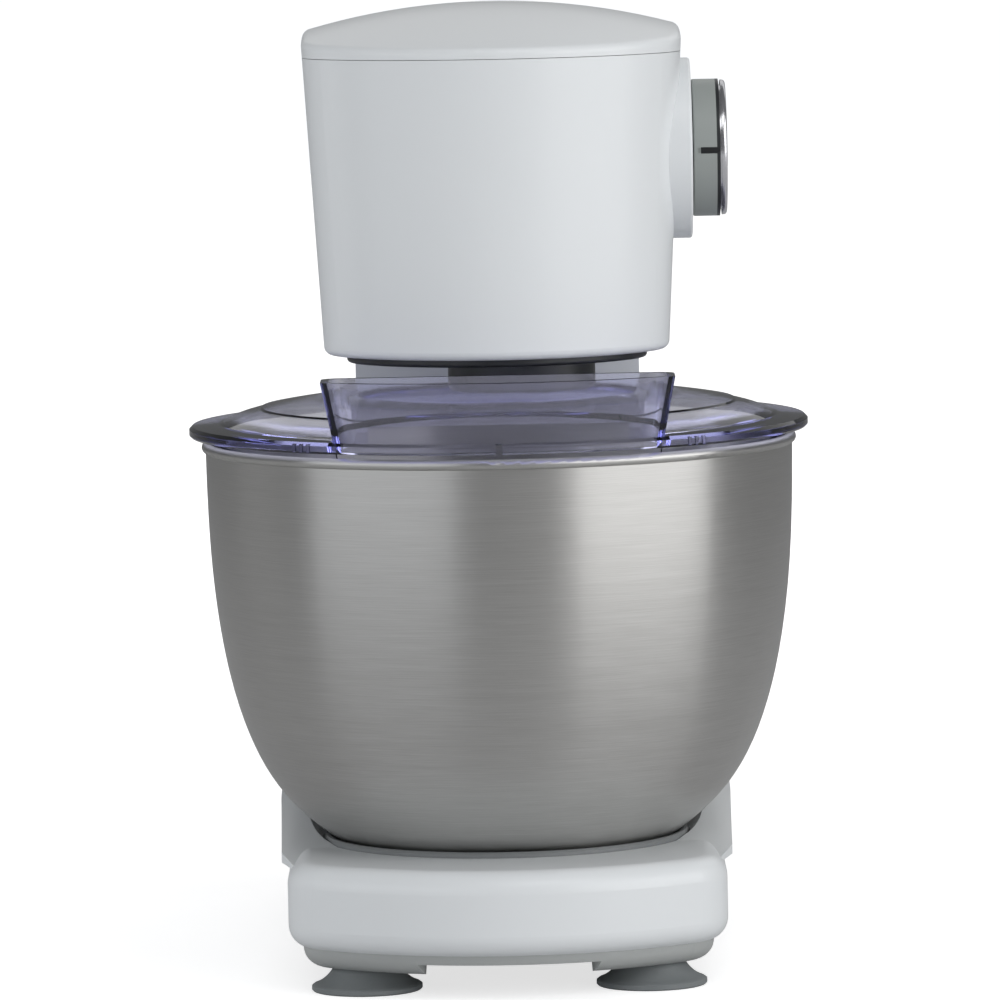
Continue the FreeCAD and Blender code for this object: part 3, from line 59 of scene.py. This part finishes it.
# ---------------------------------------------------------------- material helpers
class Shader:
    """A Principled material with a few node helpers."""

    def __init__(self, name):
        self.material = bpy.data.materials.new(name)
        self.material.use_nodes = True
        self.tree = self.material.node_tree
        self.bsdf = self.tree.nodes["Principled BSDF"]
        self.output = self.tree.nodes["Material Output"]
        self.coords = self.tree.nodes.new("ShaderNodeTexCoord").outputs["Object"]

    def set(self, **values):
        for name, value in values.items():
            self.bsdf.inputs[name.replace("_", " ")].default_value = value

    def node(self, kind, **settings):
        node = self.tree.nodes.new(kind)
        for name, value in settings.items():
            if name in node.inputs:
                node.inputs[name].default_value = value
            else:
                setattr(node, name, value)
        return node

    def link(self, source, target):
        self.tree.links.new(source, target)

    def feed(self, value, socket):
        """A number is set on the socket, and another node's output is linked to it."""
        if isinstance(value, (int, float)):
            socket.default_value = value
        else:
            self.link(value, socket)

    def place(self, stretch=(1.0, 1.0, 1.0), offset=(0.0, 0.0, 0.0)):
        place = self.node("ShaderNodeMapping", Scale=stretch, Location=offset)
        self.link(self.coords, place.inputs["Vector"])
        return place.outputs["Vector"]

    def noise(self, scale, detail=4.0, roughness=0.5, where=None):
        noise = self.node("ShaderNodeTexNoise", Scale=scale, Detail=detail, Roughness=roughness)
        self.link(where or self.coords, noise.inputs["Vector"])
        return noise.outputs["Fac"]

    def math(self, operation, first, second=0.0):
        node = self.node("ShaderNodeMath", operation=operation)
        self.feed(first, node.inputs[0])
        self.feed(second, node.inputs[1])
        return node.outputs[0]

    def axis_parts(self, x=0.0, y=0.0):
        """Distance from an upright axis, angle about it, and height."""
        split = self.node("ShaderNodeSeparateXYZ")
        self.link(self.place(offset=(-x, -y, 0.0)), split.inputs[0])
        across, along, height = split.outputs
        squares = self.math("ADD", self.math("MULTIPLY", across, across),
                            self.math("MULTIPLY", along, along))
        return self.math("SQRT", squares), self.math("ARCTAN2", along, across), height

    def stretched(self, parts, factors):
        """Three values, each multiplied by its factor, joined as a vector."""
        joined = self.node("ShaderNodeCombineXYZ")
        for part, factor, socket in zip(parts, factors, joined.inputs):
            self.link(self.math("MULTIPLY", part, factor), socket)
        return joined.outputs[0]

    def ramp(self, source, stops):
        ramp = self.node("ShaderNodeValToRGB")
        elements = ramp.color_ramp.elements
        while len(elements) < len(stops):
            elements.new(0.5)
        for element, (position, color) in zip(elements, stops):
            element.position = position
            element.color = (*color, 1.0)
        self.link(source, ramp.inputs["Fac"])
        return ramp.outputs["Color"]

    def drift(self, source, first, second):
        """Colour that wanders between two shades as the noise does."""
        return self.ramp(source, list(zip(DRIFT_ENDS, (first, second))))

    def spread(self, source, low, high, start=0.0, end=1.0):
        span = self.node("ShaderNodeMapRange")
        for name, value in (("From Min", start), ("From Max", end), ("To Min", low),
                            ("To Max", high)):
            span.inputs[name].default_value = value
        self.link(source, span.inputs["Value"])
        return span.outputs["Result"]

    def bump(self, height, strength, distance):
        bump = self.node("ShaderNodeBump", Strength=strength, Distance=distance)
        self.link(height, bump.inputs["Height"])
        self.link(bump.outputs["Normal"], self.bsdf.inputs["Normal"])

    def color(self, source):
        self.link(source, self.bsdf.inputs["Base Color"])

    def rough(self, source):
        self.link(source, self.bsdf.inputs["Roughness"])

    def smudges(self):
        """Broad uneven patches, as fingers leave on plastic."""
        return self.noise(35.0, detail=5.0, roughness=0.6)


def shifted(color, amount):
    return tuple(min(1.0, max(0.0, part + amount)) for part in color)


def moulded_plastic(name, color, rough, variation, grain):
    """Satin moulded plastic: faint colour drift, fine eroded grain, smudged gloss."""
    shader = Shader(name)
    patches = shader.noise(9.0, detail=3.0)
    shader.color(shader.drift(patches, shifted(color, -variation), shifted(color, variation)))
    shader.rough(shader.spread(shader.smudges(), rough - 0.05, rough + 0.06))
    shader.bump(shader.noise(2600.0, detail=2.0), strength=grain, distance=0.00004)
    return shader.material


def white_shell():
    """Glossy-satin white casing with a very slight orange peel under the gloss."""
    shader = Shader("white shell plastic")
    patches = shader.noise(6.0, detail=3.0)
    shader.color(shader.drift(patches, (0.76, 0.785, 0.80), (0.785, 0.81, 0.825)))
    shader.rough(shader.spread(shader.noise(40.0, detail=5.0, roughness=0.6), 0.27, 0.36))
    shader.bump(shader.noise(420.0, detail=2.0), strength=0.05, distance=0.00005)
    shader.set(Coat_Weight=0.12, Coat_Roughness=0.2, IOR=1.45)
    return shader.material


def brushed_bowl():
    """Stainless bowl: fine level brush lines round its axis, and faint spun bands."""
    shader = Shader("brushed bowl steel")
    radius, angle, height = shader.axis_parts(0.0, BOWL_AXIS_Y)
    round_axis = (angle, height, radius)
    lines = shader.noise(1.0, detail=3.0, roughness=0.6,
                         where=shader.stretched(round_axis, BRUSH_STRETCH))
    bands = shader.noise(1.0, detail=2.0, roughness=0.5,
                         where=shader.stretched(round_axis, BAND_STRETCH))
    mixed = shader.math("ADD", shader.math("MULTIPLY", lines, BRUSH_SHARE),
                        shader.math("MULTIPLY", bands, BAND_SHARE))
    shader.color(shader.ramp(mixed, [(0.32, (0.50, 0.495, 0.48)), (0.52, (0.555, 0.55, 0.535)),
                                     (0.70, (0.605, 0.60, 0.585))]))
    shader.rough(shader.spread(mixed, 0.30, 0.40, *DRIFT_ENDS))
    shader.bump(lines, strength=0.10, distance=0.00002)
    shader.set(Metallic=1.0, Anisotropic=0.8, Anisotropic_Rotation=0.25)
    tangent = shader.node("ShaderNodeTangent", direction_type="RADIAL", axis="Z")
    shader.link(tangent.outputs["Tangent"], shader.bsdf.inputs["Tangent"])
    return shader.material


def metal(name, color, rough, line_scale, stretch=(1.0, 1.0, 1.0), bump=0.1, variation=0.03):
    """Bare metal whose machining marks show in its colour, gloss and surface alike."""
    shader = Shader(name)
    lines = shader.noise(line_scale, detail=3.0, roughness=0.6, where=shader.place(stretch))
    shader.color(shader.drift(lines, shifted(color, -variation), shifted(color, variation)))
    shader.rough(shader.spread(lines, rough - 0.06, rough + 0.08))
    shader.bump(lines, strength=bump, distance=0.00003)
    shader.set(Metallic=1.0)
    return shader.material


def clear_lid():
    """Clear plastic with a faint indigo dye, which gathers where the light runs along a wall."""
    shader = Shader("clear lid plastic")
    haze = shader.noise(55.0, detail=4.0)
    shader.color(shader.drift(haze, (0.95, 0.95, 0.965), (0.97, 0.97, 0.985)))
    shader.rough(shader.spread(haze, 0.02, 0.07))
    shader.bump(shader.noise(120.0, detail=2.0), strength=0.06, distance=0.00006)
    shader.set(Transmission_Weight=1.0, IOR=1.49)
    dye = shader.node("ShaderNodeVolumeAbsorption", Color=(0.12, 0.14, 0.88, 1.0), Density=42.0)
    shader.link(dye.outputs[0], shader.output.inputs["Volume"])
    shadow = shader.node("ShaderNodeLightPath").outputs["Is Shadow Ray"]
    passing = shader.node("ShaderNodeBsdfTransparent", Color=(0.80, 0.80, 0.86, 1.0))
    mix = shader.node("ShaderNodeMixShader")
    shader.link(shadow, mix.inputs[0])
    shader.link(shader.bsdf.outputs[0], mix.inputs[1])
    shader.link(passing.outputs[0], mix.inputs[2])
    shader.link(mix.outputs[0], shader.output.inputs["Surface"])
    return shader.material


def rubber(name, color, rough):
    """Dull rubber with dusty patches and a coarse skin."""
    shader = Shader(name)
    dust = shader.noise(70.0, detail=5.0, roughness=0.65)
    shader.color(shader.drift(dust, shifted(color, -0.012), shifted(color, 0.015)))
    shader.rough(shader.spread(dust, rough - 0.07, rough + 0.08))
    shader.bump(shader.noise(1500.0, detail=3.0), strength=0.2, distance=0.00006)
    return shader.material


def knob_plastic_painted_shade():
    """Grey knob with painted shade: the groove that marks its setting and the step behind the bright
    ring are painted near-black as shade.
    """
    low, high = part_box("speed_knob")
    middle_y = (low[1] + high[1]) / 2.0
    middle_z = (low[2] + high[2]) / 2.0
    shader = Shader("knob plastic with painted shade")
    split = shader.node("ShaderNodeSeparateXYZ")
    shader.link(shader.coords, split.inputs[0])
    across, along, height = split.outputs
    # painted shade: masks for the groove across the rim and the step behind the bright ring
    off_middle = shader.math("ABSOLUTE", shader.math("SUBTRACT", height, middle_z))
    in_groove = shader.math("MULTIPLY", shader.math("LESS_THAN", off_middle, GROOVE_HALF_WIDTH),
                            shader.math("LESS_THAN", along, middle_y))
    past_rim = shader.math("GREATER_THAN", across, low[0] + GROOVE_START)
    at_step = shader.math("GREATER_THAN", across, high[0] - STEP_DEPTH)
    painted_shade = shader.math("MAXIMUM", shader.math("MULTIPLY", in_groove, past_rim), at_step)
    grey = shader.drift(shader.noise(9.0, detail=3.0), (0.30, 0.325, 0.315), (0.325, 0.35, 0.34))
    mix = shader.node("ShaderNodeMix", data_type="RGBA")
    shader.link(painted_shade, mix.inputs["Factor"])
    shader.link(grey, mix.inputs[MIX_FIRST])
    # near-black colour of the painted shade in the groove and the step
    mix.inputs[MIX_SECOND].default_value = (0.018, 0.02, 0.022, 1.0)
    shader.color(mix.outputs[MIX_RESULT])
    shader.rough(shader.spread(shader.smudges(), 0.36, 0.47))
    shader.bump(shader.noise(2600.0, detail=2.0), strength=0.25, distance=0.00004)
    return shader.material


MATERIALS = {
    "white_shell": white_shell(),
    "grey_plastic": moulded_plastic("grey plastic", (0.40, 0.415, 0.41), 0.42, 0.01, 0.25),
    "light_grey_plastic": moulded_plastic("light grey plastic", (0.20, 0.21, 0.215), 0.42, 0.01, 0.2),
    "black_plastic": moulded_plastic("black plastic", (0.016, 0.018, 0.021), 0.36, 0.004, 0.3),
    "clear_lid": clear_lid(),
    "bowl_steel": brushed_bowl(),
    "bright_trim": metal("bright trim", (0.74, 0.74, 0.77), 0.20, 300.0, bump=0.02, variation=0.015),
    "steel": metal("ground steel", (0.56, 0.56, 0.57), 0.30, 1400.0, (1.0, 1.0, 0.15)),
    "cast_alloy": metal("cast alloy", (0.52, 0.53, 0.54), 0.55, 700.0, bump=0.35, variation=0.05),
    "gear_plastic": moulded_plastic("gear plastic", (0.78, 0.755, 0.665), 0.38, 0.02, 0.1),
    "bronze": metal("sintered bronze", (0.46, 0.30, 0.15), 0.42, 1800.0, bump=0.3, variation=0.04),
    "laminations": metal("stacked laminations", (0.20, 0.18, 0.17), 0.45, 60.0, (0.3, 0.3, 40.0),
                         bump=0.4, variation=0.07),
    "foot_rubber": rubber("foot rubber", (0.185, 0.20, 0.205), 0.52),
    "belt_rubber": rubber("belt rubber", (0.022, 0.022, 0.023), 0.7),
}

for part in frame["record"]["subparts"]:
    mesh = NODES[part["node"]].data
    mesh.materials.clear()
    mesh.materials.append(MATERIALS[part["material_slot"]])
NODES["speed_knob"].data.materials[0] = knob_plastic_painted_shade()


# ---------------------------------------------------------------- stage, light, camera
def add_stage():
    """Pale floor that grows lighter with distance, so that it fades into the backdrop."""
    bpy.ops.mesh.primitive_plane_add(size=FLOOR_SIZE)
    floor = bpy.context.object
    floor.name = "floor"
    shader = Shader("pale floor")
    tone = shader.noise(3.0, detail=2.0)
    shader.color(shader.drift(tone, (0.57, 0.57, 0.575), (0.60, 0.60, 0.605)))
    distance, _, _ = shader.axis_parts()
    seen = shader.node("ShaderNodeLightPath").outputs["Is Camera Ray"]
    fade = shader.spread(distance, FADE_START, FADE_END, GLOW_NEAR, GLOW_FAR)
    glow = shader.math("MULTIPLY", seen, fade)
    shader.link(glow, shader.bsdf.inputs["Emission Strength"])
    shader.set(Roughness=0.7, Emission_Color=(1.0, 1.0, 1.0, 1.0))
    floor.data.materials.append(shader.material)


def add_light(name, place, size, power, color=(1.0, 1.0, 1.0), reflected=True):
    """Rectangular light turned to the object, seen in its reflections or not."""
    data = bpy.data.lights.new(name, "AREA")
    data.shape = "RECTANGLE"
    data.size, data.size_y = size
    data.energy = power
    data.color = color
    light = bpy.data.objects.new(name, data)
    light.location = place
    aim = Vector(LIGHT_TARGET) - Vector(place)
    light.rotation_mode = "QUATERNION"
    light.rotation_quaternion = aim.to_track_quat("-Z", "Y")
    light.visible_glossy = reflected
    bpy.context.scene.collection.objects.link(light)


def add_camera():
    """Long lens a little above the rim, looking slightly down and rolled a degree."""
    distance = 3.0
    height = 0.432
    aim_height = 0.1688
    roll = math.radians(1.15)
    data = bpy.data.cameras.new("camera")
    data.sensor_width = 36.0
    data.lens = 298.0
    data.clip_end = 50.0
    camera = bpy.data.objects.new("camera", data)
    bpy.context.scene.collection.objects.link(camera)
    place = Vector((0.0, BOWL_AXIS_Y - distance, height))
    aim = Vector((0.0, BOWL_AXIS_Y, aim_height)) - place
    turn = aim.to_track_quat("-Z", "Y").to_matrix().to_4x4()
    camera.matrix_world = Matrix.Translation(place) @ turn @ Matrix.Rotation(-roll, 4, "Z")
    bpy.context.scene.camera = camera


def add_world():
    """Dim surroundings, with a backdrop that is white to the eye and bright behind clear plastic."""
    world = bpy.data.worlds.new("studio")
    bpy.context.scene.world = world
    world.use_nodes = True
    tree = world.node_tree
    room = tree.nodes["Background"]
    room.inputs["Color"].default_value = (0.97, 0.985, 1.0, 1.0)
    rays = tree.nodes.new("ShaderNodeLightPath").outputs
    seen, behind_clear = (tree.nodes.new("ShaderNodeMath") for _ in range(2))
    for step, ray, extra in ((seen, "Is Camera Ray", BACKDROP_EXTRA),
                             (behind_clear, "Is Transmission Ray", CLEAR_EXTRA)):
        step.operation = "MULTIPLY_ADD"
        tree.links.new(rays[ray], step.inputs[0])
        step.inputs[1].default_value = extra
    seen.inputs[2].default_value = ROOM_STRENGTH
    tree.links.new(seen.outputs[0], behind_clear.inputs[2])
    tree.links.new(behind_clear.outputs[0], room.inputs["Strength"])


add_stage()
add_world()
add_camera()
bpy.context.scene.view_settings.view_transform = "Standard"
add_light("right key", (1.90, -1.22, 0.8), (2.7, 1.7), 31.0)
add_light("left fill", (-1.8, -1.7, 0.75), (3.0, 1.6), 16.0, (0.94, 0.965, 1.0))
add_light("front top", (0.7, -1.7, 2.3), (1.6, 1.0), 9.0)
add_light("rear panel", (0.5, 2.0, 1.5), (3.0, 1.4), 7.0)
add_light("left side", (-2.2, 0.6, 0.4), (1.0, 0.8), 14.0, reflected=False)
add_light("ceiling", (0.0, 0.2, 2.6), (2.5, 2.5), 13.5, reflected=False)
add_light("low front", (0.3, -2.0, 0.22), (1.8, 0.4), 4.0, reflected=False)
